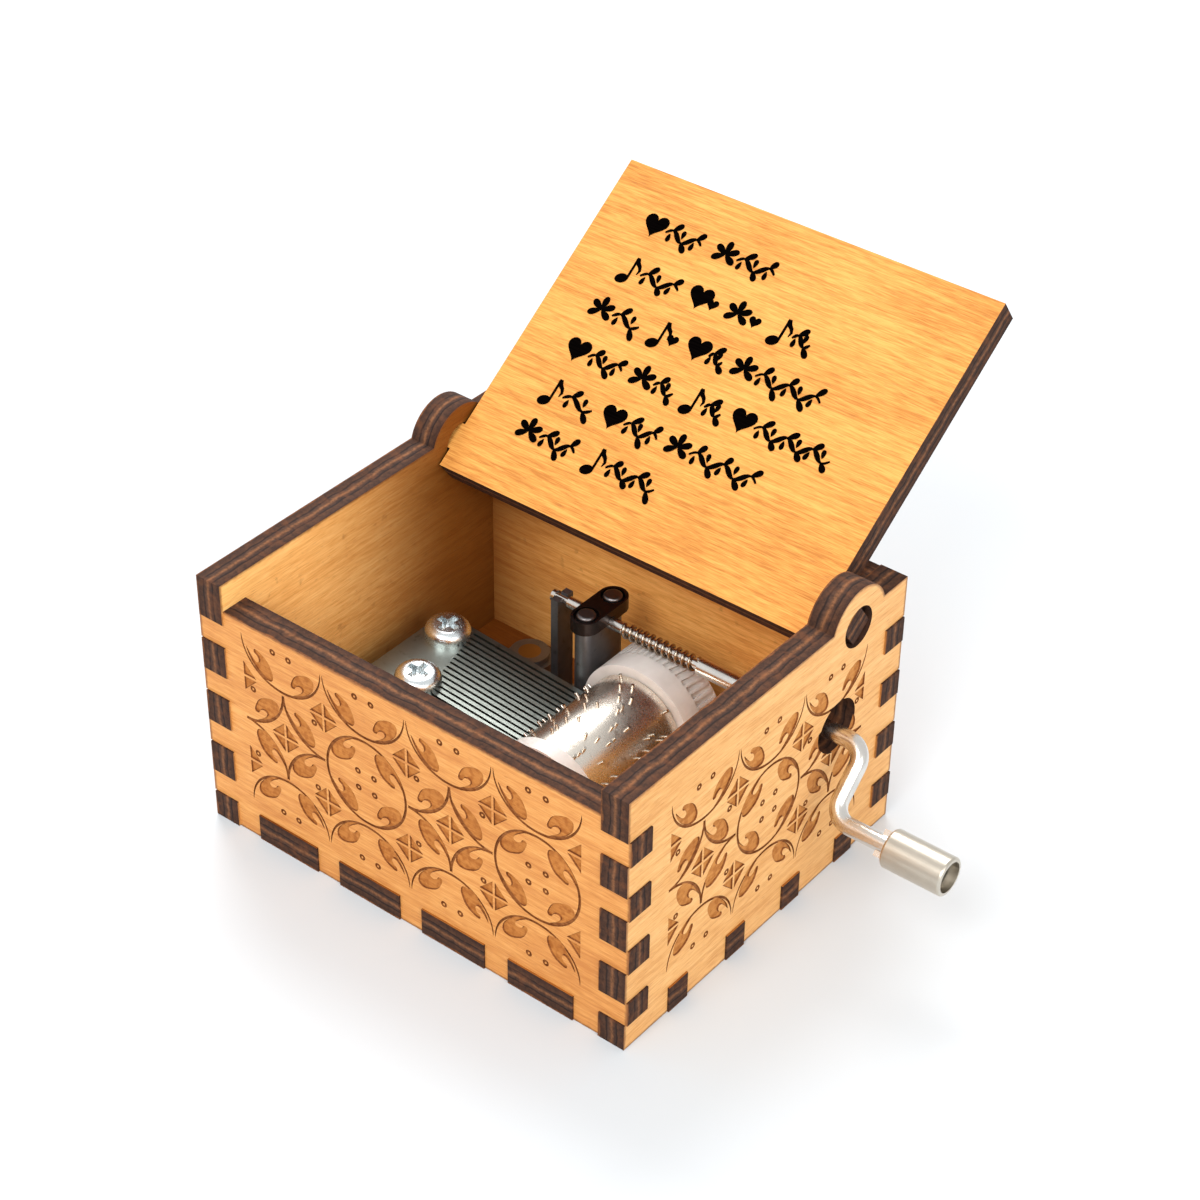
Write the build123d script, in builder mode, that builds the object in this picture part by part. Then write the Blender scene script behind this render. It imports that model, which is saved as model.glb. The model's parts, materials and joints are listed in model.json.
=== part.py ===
from build123d import *
import os
from math import atan, cos, degrees, pi, radians, sin

# Hand-cranked music box: a finger-jointed plywood case with a lid that pivots in two ears,
# holding a comb, a pinned cylinder and a worm drive turned by a bent wire crank.
# Millimetres. Origin: centre of the underside. +X right (crank side), +Y rear, +Z up.

# ---- case -------------------------------------------------------------------------------
CASE_W = 64.0
CASE_D = 52.0
CASE_H = 36.5
PLY = 3.75
PROUD = 0.25
HALF_W = CASE_W / 2
HALF_D = CASE_D / 2
INNER_W = HALF_W - PLY
INNER_D = HALF_D - PLY
FRONT_H = CASE_H - PLY

FINGER_FIRST = 3.7
FINGER_PITCH = 7.9
FINGER_H = 3.45
FINGER_ROWS = 4
FINGER_MIDS = [FINGER_FIRST + FINGER_H / 2 + FINGER_PITCH * i for i in range(FINGER_ROWS)]

LONG_TAB = 9.6
LONG_TAB_XS = [-19.75, -6.55, 6.55, 19.75]
SHORT_TAB = 3.5
SHORT_TAB_YS = [-16.5, -5.5, 5.5, 16.5]

# ---- lid and its ears -------------------------------------------------------------------
PIVOT_Y = 16.35
PIVOT_Z = 34.9
EAR_R = 5.35
EAR_HOLE_R = 2.7
LID_HALF_W = 27.9
LID_FRONT = 42.3
LID_BACK = 4.25
LID_TAB_W = 3.6
LID_TAB_END = 31.7
LID_OPEN = 144.4

# ---- cylinder and worm drive ------------------------------------------------------------
DRUM_X = 6.8
DRUM_Z = 12.85
DRUM_R = 6.95
DRUM_INNER_R = 6.25
DRUM_FRONT = -8.3
DRUM_BACK = 7.8
SPIGOT = 1.5
PIN_R = 0.2
PIN_TIP_R = 7.55
PIN_ROOT_R = 6.3
# Each tine has its own ring of pins; the rings step round the cylinder unevenly, like a tune.
PIN_STEPS = [5, 3, 4, 6, 3, 5, 4]
PIN_GRID = 36
CAP_R = 7.3
CAP_FRONT = -10.3
WHEEL_BACK = 14.3
WHEEL_RIM = 1.6
WHEEL_HUB_R = 2.8
WHEEL_DISH = 4.5
TEETH = 51
LEAD = 1.0
WHEEL_R = 8.2
GROOVE_FLOOR_R = 7.8
GROOVE_W = 0.62
GROOVE_L = 3.4
ARBOR_R = 1.5
PIVOT_PIN_R = 1.0
PIVOT_PIN_L = 2.4
RUN_GAP = 0.05
COIL_WIRE_R = 0.2
COIL_R = 0.88
COIL_TURNS = 11
THREAD_BITE = 0.25
SHAFT_Y = 12.5
SHAFT_Z = DRUM_Z + WHEEL_R + COIL_R + COIL_WIRE_R - THREAD_BITE
# The grooves follow the thread's lead angle and are as wide as the wire plus running room.
GROOVE_TILT = degrees(atan(LEAD / (2 * pi * COIL_R)))

# ---- crank ------------------------------------------------------------------------------
WIRE_R = 1.1
JOURNAL_R = 0.8
NECK_R = 0.45
CORE_R = 0.66
CORE_START = 1.0
CORE_END = 12.7
CRANK_X = 36.75
CRANK_THROW = 9.0
CRANK_ANGLE = -135.0
BEND_R = 2.4
KNOB_Y = SHAFT_Y + CRANK_THROW * cos(radians(CRANK_ANGLE))
KNOB_Z = SHAFT_Z + CRANK_THROW * sin(radians(CRANK_ANGLE))
KNOB_START = 44.95
KNOB_END = 53.0
KNOB_R = 2.45
RECESS_R = 1.95
RECESS_DEPTH = 2.2

# ---- comb -------------------------------------------------------------------------------
COMB_TILT = 4.0
COMB_LEFT = -23.6
COMB_TIP = -0.85
COMB_THICK = 1.0
COMB_TIP_Z = 14.1
COMB_FRONT = -8.8
COMB_BACK = 7.4
TINES = 18
TINE_PITCH = 0.87
SLOT_W = 0.34
ROOT_BACK = 5.2
ROOT_FRONT = 8.9
SEAT_SETBACK = 0.5
COMB_LENGTH = (COMB_TIP - COMB_LEFT) / cos(radians(COMB_TILT))
TINE_FRONT = COMB_BACK - TINES * TINE_PITCH
COMB_SCREWS = [(3.2, 4.2), (6.45, -5.1)]
SCREW_HEAD_R = 2.95
SCREW_HEAD_H = 1.9
SCREW_R = 1.5
COMB_SCREW_DEPTH = 4.4
DRIVER_SLOT_L = 3.0
DRIVER_SLOT_W = 0.85
DRIVER_DEPTH = 1.1

# ---- movement base ----------------------------------------------------------------------
BASE_Z = PLY
PLATE_H = 1.6
PLATE_TOP = BASE_Z + PLATE_H
PLATE_RIGHT = 24.0
PLATE_FRONT = -13.5
PLATE_BACK = 16.5
PLATE_CORNER_R = 2.0
PILLAR_X = -2.98
PILLAR_W = 2.4
PILLAR_L = 7.8
CLAMP_X = -2.8
CLAMP_W = 3.8
CLAMP_L = 9.2
CLAMP_H = 1.8
CLAMP_SCREW_STEP = 2.6
CLAMP_TOP = SHAFT_Z + CLAMP_H
CLAMP_SCREWS = [(CLAMP_X, SHAFT_Y - CLAMP_SCREW_STEP), (CLAMP_X, SHAFT_Y + CLAMP_SCREW_STEP)]
CLAMP_SCREW_R = 0.7
CLAMP_HEAD_R = 1.25
CLAMP_HEAD_H = 0.75
CLAMP_BORE_R = 1.6
CLAMP_BORE_DEPTH = 0.5
CLAMP_SCREW_DEPTH = 2.4
END_POST = (-9.3, -8.2)
END_POST_HALF_W = 1.5
FORK_TOP = SHAFT_Z + 0.55
RIGHT_POST = (21.5, 23.5)
RIGHT_POST_HALF_W = 2.6
ROOT_SINK = 0.5
HOLE_SPARE = 0.1
WELL_W = 11.6
WELL_FRONT = -8.6
WELL_BACK = 14.7
ARBOR_LUG_W = 7.0
ARBOR_LUGS = [(-12.9, 2.0), (WHEEL_BACK + 0.6, 1.6)]
LUG_POINT = (-18.1, 17.4)
LUG_R = 3.2
BOSS_R = 2.6
BOSS_TOP = 7.5
FOOT_SCREWS = [LUG_POINT, (-19.8, -2.0), (17.5, -10.5)]
FOOT_SCREW_TOPS = [6.2, 9.0, 7.5]
FOOT_HEAD_R = 2.9
FOOT_HEAD_H = 1.4
HEX_KEY_R = 1.1
HEX_KEY_DEPTH = 1.0

os.makedirs("parts", exist_ok=True)


def save(part, name):
    """Label one finished piece and write it as its own STEP file."""
    part.label = name
    export_step(part, f"parts/{name}.step")


def side_profile(plane, hole=None):
    """Sketch of a side wall: panel, corner fingers, ear, pivot hole and floor-tab notches."""
    with BuildSketch(plane, mode=Mode.PRIVATE) as profile:
        with Locations((0, CASE_H / 2)):
            Rectangle(2 * (HALF_D + PROUD), CASE_H)
        with Locations([(s * (HALF_D + PROUD - (PLY + PROUD) / 2), z) for s in (-1, 1) for z in FINGER_MIDS]):
            Rectangle(PLY + PROUD, FINGER_H, mode=Mode.SUBTRACT)
        with Locations((PIVOT_Y, PIVOT_Z)):
            Circle(EAR_R)
            Circle(EAR_HOLE_R, mode=Mode.SUBTRACT)
        with Locations([(y, PLY / 2) for y in SHORT_TAB_YS]):
            Rectangle(SHORT_TAB, PLY, mode=Mode.SUBTRACT)
        if hole:
            with Locations(hole[:2]):
                Circle(hole[2], mode=Mode.SUBTRACT)
    return profile.sketch


def end_profile(plane, height):
    """Sketch of the front or rear wall: panel, corner fingers and floor-tab notches."""
    with BuildSketch(plane, mode=Mode.PRIVATE) as profile:
        with Locations((0, height / 2)):
            Rectangle(2 * INNER_W, height)
        with Locations([(s * (HALF_W + PROUD - (PLY + PROUD) / 2), z) for s in (-1, 1) for z in FINGER_MIDS]):
            Rectangle(PLY + PROUD, FINGER_H)
        with Locations([(x, PLY / 2) for x in LONG_TAB_XS]):
            Rectangle(LONG_TAB, PLY, mode=Mode.SUBTRACT)
    return profile.sketch


# ---- plywood case -----------------------------------------------------------------------
with BuildPart() as bottom_panel:
    with BuildSketch(Plane.XY):
        Rectangle(2 * INNER_W, 2 * INNER_D)
        with Locations([(x, 0) for x in LONG_TAB_XS]):
            Rectangle(LONG_TAB, 2 * (HALF_D + PROUD))
        with Locations([(0, y) for y in SHORT_TAB_YS]):
            Rectangle(2 * (HALF_W + PROUD), SHORT_TAB)
    extrude(amount=PLY)
    with Locations([Location((x, y, 0), (180, 0, 0)) for x, y in FOOT_SCREWS]):
        CounterSinkHole(radius=SCREW_R, counter_sink_radius=FOOT_HEAD_R, depth=PLY, counter_sink_angle=90)
save(bottom_panel.part, "bottom_panel")

with BuildPart() as front_wall:
    extrude(end_profile(Plane.XZ.offset(HALF_D), FRONT_H), amount=-PLY)
save(front_wall.part, "front_wall")

with BuildPart() as rear_wall:
    extrude(end_profile(Plane.XZ.offset(-INNER_D), CASE_H), amount=-PLY)
save(rear_wall.part, "rear_wall")

with BuildPart() as left_wall:
    extrude(side_profile(Plane.YZ.offset(-HALF_W)), amount=PLY)
save(left_wall.part, "left_wall")

CRANK_HOLE = (13.4, 22.1, 3.6)
with BuildPart() as right_wall:
    extrude(side_profile(Plane.YZ.offset(INNER_W), CRANK_HOLE), amount=PLY)
save(right_wall.part, "right_wall")

# ---- lid, leaning open ------------------------------------------------------------------
lid_reach = Vector(0, -cos(radians(LID_OPEN)), sin(radians(LID_OPEN)))
lid_normal = Vector(1, 0, 0).cross(lid_reach)
lid_plane = Plane(origin=(0, PIVOT_Y, PIVOT_Z), x_dir=(1, 0, 0), z_dir=lid_normal)
with BuildPart() as lid:
    with BuildSketch(lid_plane):
        with Locations((0, (LID_FRONT - LID_BACK) / 2)):
            Rectangle(2 * LID_HALF_W, LID_FRONT + LID_BACK)
        Rectangle(2 * LID_TAB_END, LID_TAB_W)
    extrude(amount=PLY / 2, both=True)
save(lid.part, "lid")

# ---- movement base: plate, comb seat, posts and lugs ------------------------------------
tilt_x = Vector(cos(radians(COMB_TILT)), 0, -sin(radians(COMB_TILT)))
tilt_z = Vector(sin(radians(COMB_TILT)), 0, cos(radians(COMB_TILT)))
comb_tip_top = Vector(COMB_TIP, 0, COMB_TIP_Z)
comb_top_plane = Plane(origin=comb_tip_top - tilt_x * COMB_LENGTH, x_dir=tilt_x, z_dir=tilt_z)
seat_plane = comb_top_plane.offset(-COMB_THICK)
seat_left = seat_plane.origin.X

with BuildPart() as movement_base:
    with BuildSketch(Plane.XY.offset(PLATE_TOP)):
        with BuildLine():
            Polyline(
                (seat_left, COMB_FRONT),
                (seat_left + ROOT_FRONT - SEAT_SETBACK, COMB_FRONT),
                (seat_left + ROOT_FRONT - SEAT_SETBACK, TINE_FRONT),
                (seat_left + ROOT_BACK - SEAT_SETBACK, COMB_BACK),
                (seat_left, COMB_BACK),
                close=True,
            )
        make_face()
    extrude(amount=CASE_H / 3)
    split(bisect_by=seat_plane, keep=Keep.BOTTOM)
    with BuildSketch(Plane.XY.offset(BASE_Z)):
        with Locations(((seat_left + PLATE_RIGHT) / 2, (PLATE_FRONT + PLATE_BACK) / 2)):
            RectangleRounded(PLATE_RIGHT - seat_left, PLATE_BACK - PLATE_FRONT, PLATE_CORNER_R)
        with Locations(LUG_POINT):
            Circle(LUG_R)
        with Locations((DRUM_X, (WELL_FRONT + WELL_BACK) / 2)):
            Rectangle(WELL_W, WELL_BACK - WELL_FRONT, mode=Mode.SUBTRACT)
    extrude(amount=PLATE_H)
    for point, top in zip(FOOT_SCREWS, FOOT_SCREW_TOPS):
        with BuildSketch(Plane.XY.offset(PLATE_TOP - ROOT_SINK)):
            with Locations(point):
                Circle(BOSS_R)
        extrude(amount=min(top, BOSS_TOP) - PLATE_TOP + ROOT_SINK)
    for start, thick in ARBOR_LUGS:
        with BuildSketch(Plane.XZ.offset(-start)):
            with Locations((DRUM_X, (PLATE_TOP - ROOT_SINK + DRUM_Z) / 2)):
                Rectangle(ARBOR_LUG_W, DRUM_Z - PLATE_TOP + ROOT_SINK)
            with Locations((DRUM_X, DRUM_Z)):
                Circle(ARBOR_LUG_W / 2)
                Circle(PIVOT_PIN_R + RUN_GAP, mode=Mode.SUBTRACT)
        extrude(amount=-thick)
    with BuildSketch(Plane.XY.offset(PLATE_TOP - ROOT_SINK)):
        with Locations((PILLAR_X, SHAFT_Y)):
            SlotOverall(PILLAR_L, PILLAR_W, rotation=90)
    extrude(amount=SHAFT_Z - PLATE_TOP + ROOT_SINK)
    with BuildSketch(Plane.YZ.offset(RIGHT_POST[0])):
        with Locations((SHAFT_Y, (PLATE_TOP - ROOT_SINK + SHAFT_Z) / 2)):
            Rectangle(2 * RIGHT_POST_HALF_W, SHAFT_Z - PLATE_TOP + ROOT_SINK)
        with Locations((SHAFT_Y, SHAFT_Z)):
            Circle(RIGHT_POST_HALF_W)
            Circle(WIRE_R + RUN_GAP, mode=Mode.SUBTRACT)
    extrude(amount=RIGHT_POST[1] - RIGHT_POST[0])
    with BuildSketch(Plane.YZ.offset(END_POST[0])):
        with Locations((SHAFT_Y, (PLATE_TOP - ROOT_SINK + FORK_TOP) / 2)):
            Rectangle(2 * END_POST_HALF_W, FORK_TOP - PLATE_TOP + ROOT_SINK)
        with Locations((SHAFT_Y, SHAFT_Z)):
            Circle(NECK_R + RUN_GAP, mode=Mode.SUBTRACT)
        with Locations((SHAFT_Y, (SHAFT_Z + FORK_TOP) / 2)):
            Rectangle(2 * (NECK_R + RUN_GAP), FORK_TOP - SHAFT_Z, mode=Mode.SUBTRACT)
    extrude(amount=END_POST[1] - END_POST[0])
    with BuildSketch(Plane.YZ.offset(PILLAR_X - PILLAR_W)):
        with Locations((SHAFT_Y, SHAFT_Z)):
            Circle(JOURNAL_R + RUN_GAP)
    extrude(amount=2 * PILLAR_W, mode=Mode.SUBTRACT)
    for point, top in zip(FOOT_SCREWS, FOOT_SCREW_TOPS):
        with BuildSketch(Plane.XY.offset(BASE_Z)):
            with Locations(point):
                Circle(SCREW_R)
        extrude(amount=top - BASE_Z, mode=Mode.SUBTRACT)
    with BuildSketch(seat_plane):
        with Locations(COMB_SCREWS):
            Circle(SCREW_R)
    extrude(amount=-COMB_SCREW_DEPTH - HOLE_SPARE, mode=Mode.SUBTRACT)
    with BuildSketch(Plane.XY.offset(SHAFT_Z)):
        with Locations(CLAMP_SCREWS):
            Circle(CLAMP_SCREW_R)
    extrude(amount=-CLAMP_SCREW_DEPTH - HOLE_SPARE, mode=Mode.SUBTRACT)
save(movement_base.part, "movement_base")

# Countersunk screws that hold the movement down through the floor.
with BuildPart() as base_screws:
    for (x, y), top in zip(FOOT_SCREWS, FOOT_SCREW_TOPS):
        with Locations((x, y, FOOT_HEAD_H / 2)):
            Cone(FOOT_HEAD_R, SCREW_R, FOOT_HEAD_H)
        with BuildSketch(Plane.XY.offset(FOOT_HEAD_H)):
            with Locations((x, y)):
                Circle(SCREW_R)
        extrude(amount=top - FOOT_HEAD_H)
        with BuildSketch(Plane.XY):
            with Locations((x, y)):
                RegularPolygon(HEX_KEY_R, 6)
        extrude(amount=HEX_KEY_DEPTH, mode=Mode.SUBTRACT)
save(base_screws.part, "base_screws")

# ---- comb and its screws ----------------------------------------------------------------
with BuildPart() as comb:
    with BuildSketch(seat_plane):
        with BuildLine():
            Polyline(
                (0, COMB_FRONT),
                (ROOT_FRONT, COMB_FRONT),
                (ROOT_FRONT, TINE_FRONT),
                (COMB_LENGTH, TINE_FRONT),
                (COMB_LENGTH, COMB_BACK),
                (0, COMB_BACK),
                close=True,
            )
        make_face()
        for i in range(1, TINES):
            slot_v = TINE_FRONT + i * TINE_PITCH
            root_u = ROOT_FRONT + (ROOT_BACK - ROOT_FRONT) * i / TINES
            with Locations(((root_u + COMB_LENGTH) / 2, slot_v)):
                Rectangle(COMB_LENGTH - root_u, SLOT_W, mode=Mode.SUBTRACT)
        with Locations(COMB_SCREWS):
            Circle(SCREW_R, mode=Mode.SUBTRACT)
    extrude(amount=COMB_THICK)
save(comb.part, "comb")

with BuildPart() as comb_screws:
    with BuildSketch(comb_top_plane):
        with Locations(COMB_SCREWS):
            Circle(SCREW_HEAD_R)
    extrude(amount=SCREW_HEAD_H)
    fillet(comb_screws.edges().group_by(Axis(comb_top_plane.origin, tilt_z))[-1], radius=1.2)
    with BuildSketch(comb_top_plane.offset(SCREW_HEAD_H)):
        with Locations(COMB_SCREWS):
            Rectangle(DRIVER_SLOT_L, DRIVER_SLOT_W)
            Rectangle(DRIVER_SLOT_W, DRIVER_SLOT_L)
            Rectangle(DRIVER_SLOT_L / 2, DRIVER_SLOT_L / 2, rotation=45)
    extrude(amount=-DRIVER_DEPTH, mode=Mode.SUBTRACT)
    with BuildSketch(comb_top_plane):
        with Locations(COMB_SCREWS):
            Circle(SCREW_R)
    extrude(amount=-COMB_THICK - COMB_SCREW_DEPTH)
save(comb_screws.part, "comb_screws")

# ---- clamp that closes the shaft bearing on top of the pillar ---------------------------
with BuildPart() as bearing_clamp:
    with BuildSketch(Plane.XY.offset(SHAFT_Z)):
        with Locations((CLAMP_X, SHAFT_Y)):
            SlotOverall(CLAMP_L, CLAMP_W, rotation=90)
        with Locations(CLAMP_SCREWS):
            Circle(CLAMP_SCREW_R, mode=Mode.SUBTRACT)
    extrude(amount=CLAMP_H)
    with BuildSketch(Plane.XY.offset(CLAMP_TOP)):
        with Locations(CLAMP_SCREWS):
            Circle(CLAMP_BORE_R)
    extrude(amount=-CLAMP_BORE_DEPTH, mode=Mode.SUBTRACT)
    with BuildSketch(Plane.YZ.offset(CLAMP_X - CLAMP_W)):
        with Locations((SHAFT_Y, SHAFT_Z)):
            Circle(JOURNAL_R + RUN_GAP)
    extrude(amount=2 * CLAMP_W, mode=Mode.SUBTRACT)
save(bearing_clamp.part, "bearing_clamp")

with BuildPart() as clamp_screws:
    with BuildSketch(Plane.XY.offset(CLAMP_TOP - CLAMP_BORE_DEPTH)):
        with Locations(CLAMP_SCREWS):
            Circle(CLAMP_HEAD_R)
    extrude(amount=CLAMP_HEAD_H)
    fillet(clamp_screws.edges().group_by(Axis.Z)[-1], radius=CLAMP_HEAD_H / 2)
    with BuildSketch(Plane.XY.offset(CLAMP_TOP - CLAMP_BORE_DEPTH)):
        with Locations(CLAMP_SCREWS):
            Circle(CLAMP_SCREW_R)
    extrude(amount=CLAMP_BORE_DEPTH - CLAMP_H - CLAMP_SCREW_DEPTH)
save(clamp_screws.part, "clamp_screws")

# ---- cylinder: shell, pins, front cap, worm wheel and arbor -----------------------------
with BuildPart() as cylinder_shell:
    with BuildSketch(Plane.XZ.offset(-DRUM_FRONT)):
        with Locations((DRUM_X, DRUM_Z)):
            Circle(DRUM_R)
            Circle(DRUM_INNER_R, mode=Mode.SUBTRACT)
    extrude(amount=DRUM_FRONT - DRUM_BACK)
    fillet(cylinder_shell.edges().filter_by(GeomType.CIRCLE).group_by(SortBy.RADIUS)[-1], radius=0.25)
save(cylinder_shell.part, "cylinder_shell")

with BuildPart() as cylinder_pins:
    for tine in range(TINES):
        pin_y = TINE_FRONT + (tine + 0.5) * TINE_PITCH
        slot = (tine * 7 + tine // 3) % PIN_STEPS[tine % len(PIN_STEPS)]
        while slot < PIN_GRID:
            angle = 2 * pi * (slot + 0.5) / PIN_GRID
            pin_plane = Plane(
                origin=(DRUM_X + PIN_ROOT_R * cos(angle), pin_y, DRUM_Z + PIN_ROOT_R * sin(angle)),
                x_dir=(0, 1, 0),
                z_dir=(cos(angle), 0, sin(angle)),
            )
            with BuildSketch(pin_plane):
                Circle(PIN_R)
            extrude(amount=PIN_TIP_R - PIN_ROOT_R)
            slot += PIN_STEPS[(tine + slot) % len(PIN_STEPS)] + 1
save(cylinder_pins.part, "cylinder_pins")

with BuildPart() as front_cap:
    for start, end, radius in (
        (CAP_FRONT, DRUM_FRONT, CAP_R),
        (DRUM_FRONT, DRUM_FRONT + SPIGOT, DRUM_INNER_R),
    ):
        with BuildSketch(Plane.XZ.offset(-start)):
            with Locations((DRUM_X, DRUM_Z)):
                Circle(radius)
                Circle(ARBOR_R, mode=Mode.SUBTRACT)
        extrude(amount=start - end)
save(front_cap.part, "front_cap")

with BuildPart() as worm_wheel:
    for start, end, radius in (
        (DRUM_BACK, WHEEL_BACK, WHEEL_R),
        (DRUM_BACK - SPIGOT, DRUM_BACK, DRUM_INNER_R),
    ):
        with BuildSketch(Plane.XZ.offset(-start)):
            with Locations((DRUM_X, DRUM_Z)):
                Circle(radius)
        extrude(amount=start - end)
    with BuildSketch(Plane.XZ.offset(-WHEEL_BACK)):
        with Locations((DRUM_X, DRUM_Z)):
            Circle(WHEEL_R - WHEEL_RIM)
            Circle(WHEEL_HUB_R, mode=Mode.SUBTRACT)
    extrude(amount=WHEEL_DISH, mode=Mode.SUBTRACT)
    with BuildSketch(Plane.XZ.offset(-WHEEL_BACK)):
        with Locations((DRUM_X, DRUM_Z)):
            Circle(ARBOR_R)
    extrude(amount=WHEEL_BACK - DRUM_BACK + SPIGOT, mode=Mode.SUBTRACT)
    for i in range(TEETH):
        angle = 90.0 + 360.0 * i / TEETH
        out = Vector(cos(radians(angle)), 0, sin(radians(angle)))
        along = Vector(sin(radians(angle)), 0, -cos(radians(angle)))
        groove_plane = Plane(
            origin=Vector(DRUM_X, SHAFT_Y, DRUM_Z) + out * GROOVE_FLOOR_R,
            x_dir=along,
            z_dir=out,
        ).rotated((0, 0, -GROOVE_TILT))
        with BuildSketch(groove_plane):
            Rectangle(GROOVE_W, GROOVE_L)
        extrude(amount=1.0, mode=Mode.SUBTRACT)
save(worm_wheel.part, "worm_wheel")

with BuildPart() as arbor:
    for start, end, radius in (
        (PLATE_FRONT + 1.0, CAP_FRONT, PIVOT_PIN_R),
        (CAP_FRONT, WHEEL_BACK, ARBOR_R),
        (WHEEL_BACK, WHEEL_BACK + PIVOT_PIN_L, PIVOT_PIN_R),
    ):
        with BuildSketch(Plane.XZ.offset(-start)):
            with Locations((DRUM_X, DRUM_Z)):
                Circle(radius)
        extrude(amount=start - end)
save(arbor.part, "arbor")

# ---- crank: wire with journals, thread coil and knob ------------------------------------
with BuildPart() as crank_rod:
    with BuildLine():
        FilletPolyline(
            (CORE_END, SHAFT_Y, SHAFT_Z),
            (CRANK_X, SHAFT_Y, SHAFT_Z),
            (CRANK_X, KNOB_Y, KNOB_Z),
            (KNOB_END - RECESS_DEPTH + 0.1, KNOB_Y, KNOB_Z),
            radius=BEND_R,
        )
    with BuildSketch(Plane(origin=(CORE_END, SHAFT_Y, SHAFT_Z), x_dir=(0, 1, 0), z_dir=(1, 0, 0))):
        Circle(WIRE_R)
    sweep()
    for start, end, radius in (
        (END_POST[0] - 0.75, END_POST[0] - 0.2, JOURNAL_R),
        (END_POST[0] - 0.2, END_POST[1] + 0.7, NECK_R),
        (END_POST[1] + 0.7, CORE_START, JOURNAL_R),
        (CORE_START, CORE_END, CORE_R),
    ):
        with BuildSketch(Plane.YZ.offset(start)):
            with Locations((SHAFT_Y, SHAFT_Z)):
                Circle(radius)
        extrude(amount=end - start)
    with BuildSketch(Plane.YZ.offset(KNOB_END - RECESS_DEPTH + 0.1)):
        with Locations((KNOB_Y, KNOB_Z)):
            Circle(WIRE_R + 0.5)
    extrude(amount=0.7)
    with BuildSketch(Plane.YZ.offset(KNOB_START - 1.4)):
        with Locations((KNOB_Y, KNOB_Z)):
            Rectangle(3.4, 0.9, rotation=45)
    extrude(amount=1.2)
save(crank_rod.part, "crank_rod")

# The thread crosses the wheel's topmost groove on the wheel's centre line.
coil_start = DRUM_X - LEAD * (COIL_TURNS // 2 + 0.5)
with BuildPart() as worm_coil:
    with BuildLine() as coil_path:
        Helix(
            pitch=LEAD,
            height=LEAD * COIL_TURNS,
            radius=COIL_R,
            center=(coil_start, SHAFT_Y, SHAFT_Z),
            direction=(1, 0, 0),
        )
    with BuildSketch(Plane(origin=coil_path.line @ 0, z_dir=coil_path.line % 0)):
        Circle(COIL_WIRE_R)
    sweep(is_frenet=True)
save(worm_coil.part, "worm_coil")

with BuildPart() as knob:
    with BuildSketch(Plane.YZ.offset(KNOB_START)):
        with Locations((KNOB_Y, KNOB_Z)):
            Circle(KNOB_R)
    extrude(amount=KNOB_END - KNOB_START)
    fillet(knob.edges(), radius=0.3)
    with BuildSketch(Plane.YZ.offset(KNOB_START)):
        with Locations((KNOB_Y, KNOB_Z)):
            Circle(WIRE_R + RUN_GAP)
    extrude(amount=KNOB_END - KNOB_START, mode=Mode.SUBTRACT)
    with BuildSketch(Plane.YZ.offset(KNOB_END)):
        with Locations((KNOB_Y, KNOB_Z)):
            Circle(RECESS_R)
    extrude(amount=-RECESS_DEPTH, mode=Mode.SUBTRACT)
save(knob.part, "knob")
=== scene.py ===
import json
import math
import random

import bmesh
import bpy
from mathutils import Euler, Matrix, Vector
from mathutils.geometry import tessellate_polygon


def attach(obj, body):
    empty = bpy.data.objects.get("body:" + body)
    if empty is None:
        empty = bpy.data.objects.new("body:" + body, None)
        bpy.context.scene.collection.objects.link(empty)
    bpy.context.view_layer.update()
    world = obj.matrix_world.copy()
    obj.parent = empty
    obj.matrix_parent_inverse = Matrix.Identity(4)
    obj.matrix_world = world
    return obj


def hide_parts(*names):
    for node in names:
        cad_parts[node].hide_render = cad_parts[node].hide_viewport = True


# A hand-cranked music box. The CAD model gives the shapes, and this script gives its pieces
# their materials, engraves the four walls, prints an ornament inside the lid and lights it all.

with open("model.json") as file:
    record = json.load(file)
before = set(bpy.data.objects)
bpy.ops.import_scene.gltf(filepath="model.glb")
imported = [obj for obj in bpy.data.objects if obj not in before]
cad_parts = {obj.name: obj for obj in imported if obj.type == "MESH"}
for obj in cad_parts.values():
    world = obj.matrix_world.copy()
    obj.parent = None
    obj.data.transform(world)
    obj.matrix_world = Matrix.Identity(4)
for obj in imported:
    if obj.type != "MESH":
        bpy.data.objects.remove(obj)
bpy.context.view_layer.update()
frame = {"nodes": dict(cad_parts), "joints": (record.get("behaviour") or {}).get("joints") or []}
nodes = frame["nodes"]
scene = bpy.context.scene

MM = 0.001
X, Y, Z = range(3)

# Sizes of the CAD model that the looks need, in millimetres.
PLY = 3.75
HALF_X = 32.0
HALF_Y = 26.0
TOP_Z = 36.5
FRONT_TOP = 32.75
EAR_RADIUS = 5.35

# The lid's pivot line in millimetres, and how far the lid is open.
lid_hinge = next(joint for joint in frame["joints"] if joint["name"] == "lid_hinge")
PIVOT_Y, PIVOT_Z = (place / MM for place in lid_hinge["pos_m"][1:])
LID_OPEN = math.radians(lid_hinge["range_deg"][1])


# ---------------------------------------------------------------- materials

def srgb(red, green, blue):
    """A colour given as 0 to 255 screen values, as Blender's linear RGBA."""
    linear = []
    for value in (red, green, blue):
        v = value / 255
        linear.append(v / 12.92 if v <= 0.04045 else ((v + 0.055) / 1.055) ** 2.4)
    return (*linear, 1.0)


def shaded(colour, factor):
    """The colour made darker or lighter by factor."""
    return (*(min(1.0, channel * factor) for channel in colour[:3]), 1.0)


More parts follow.
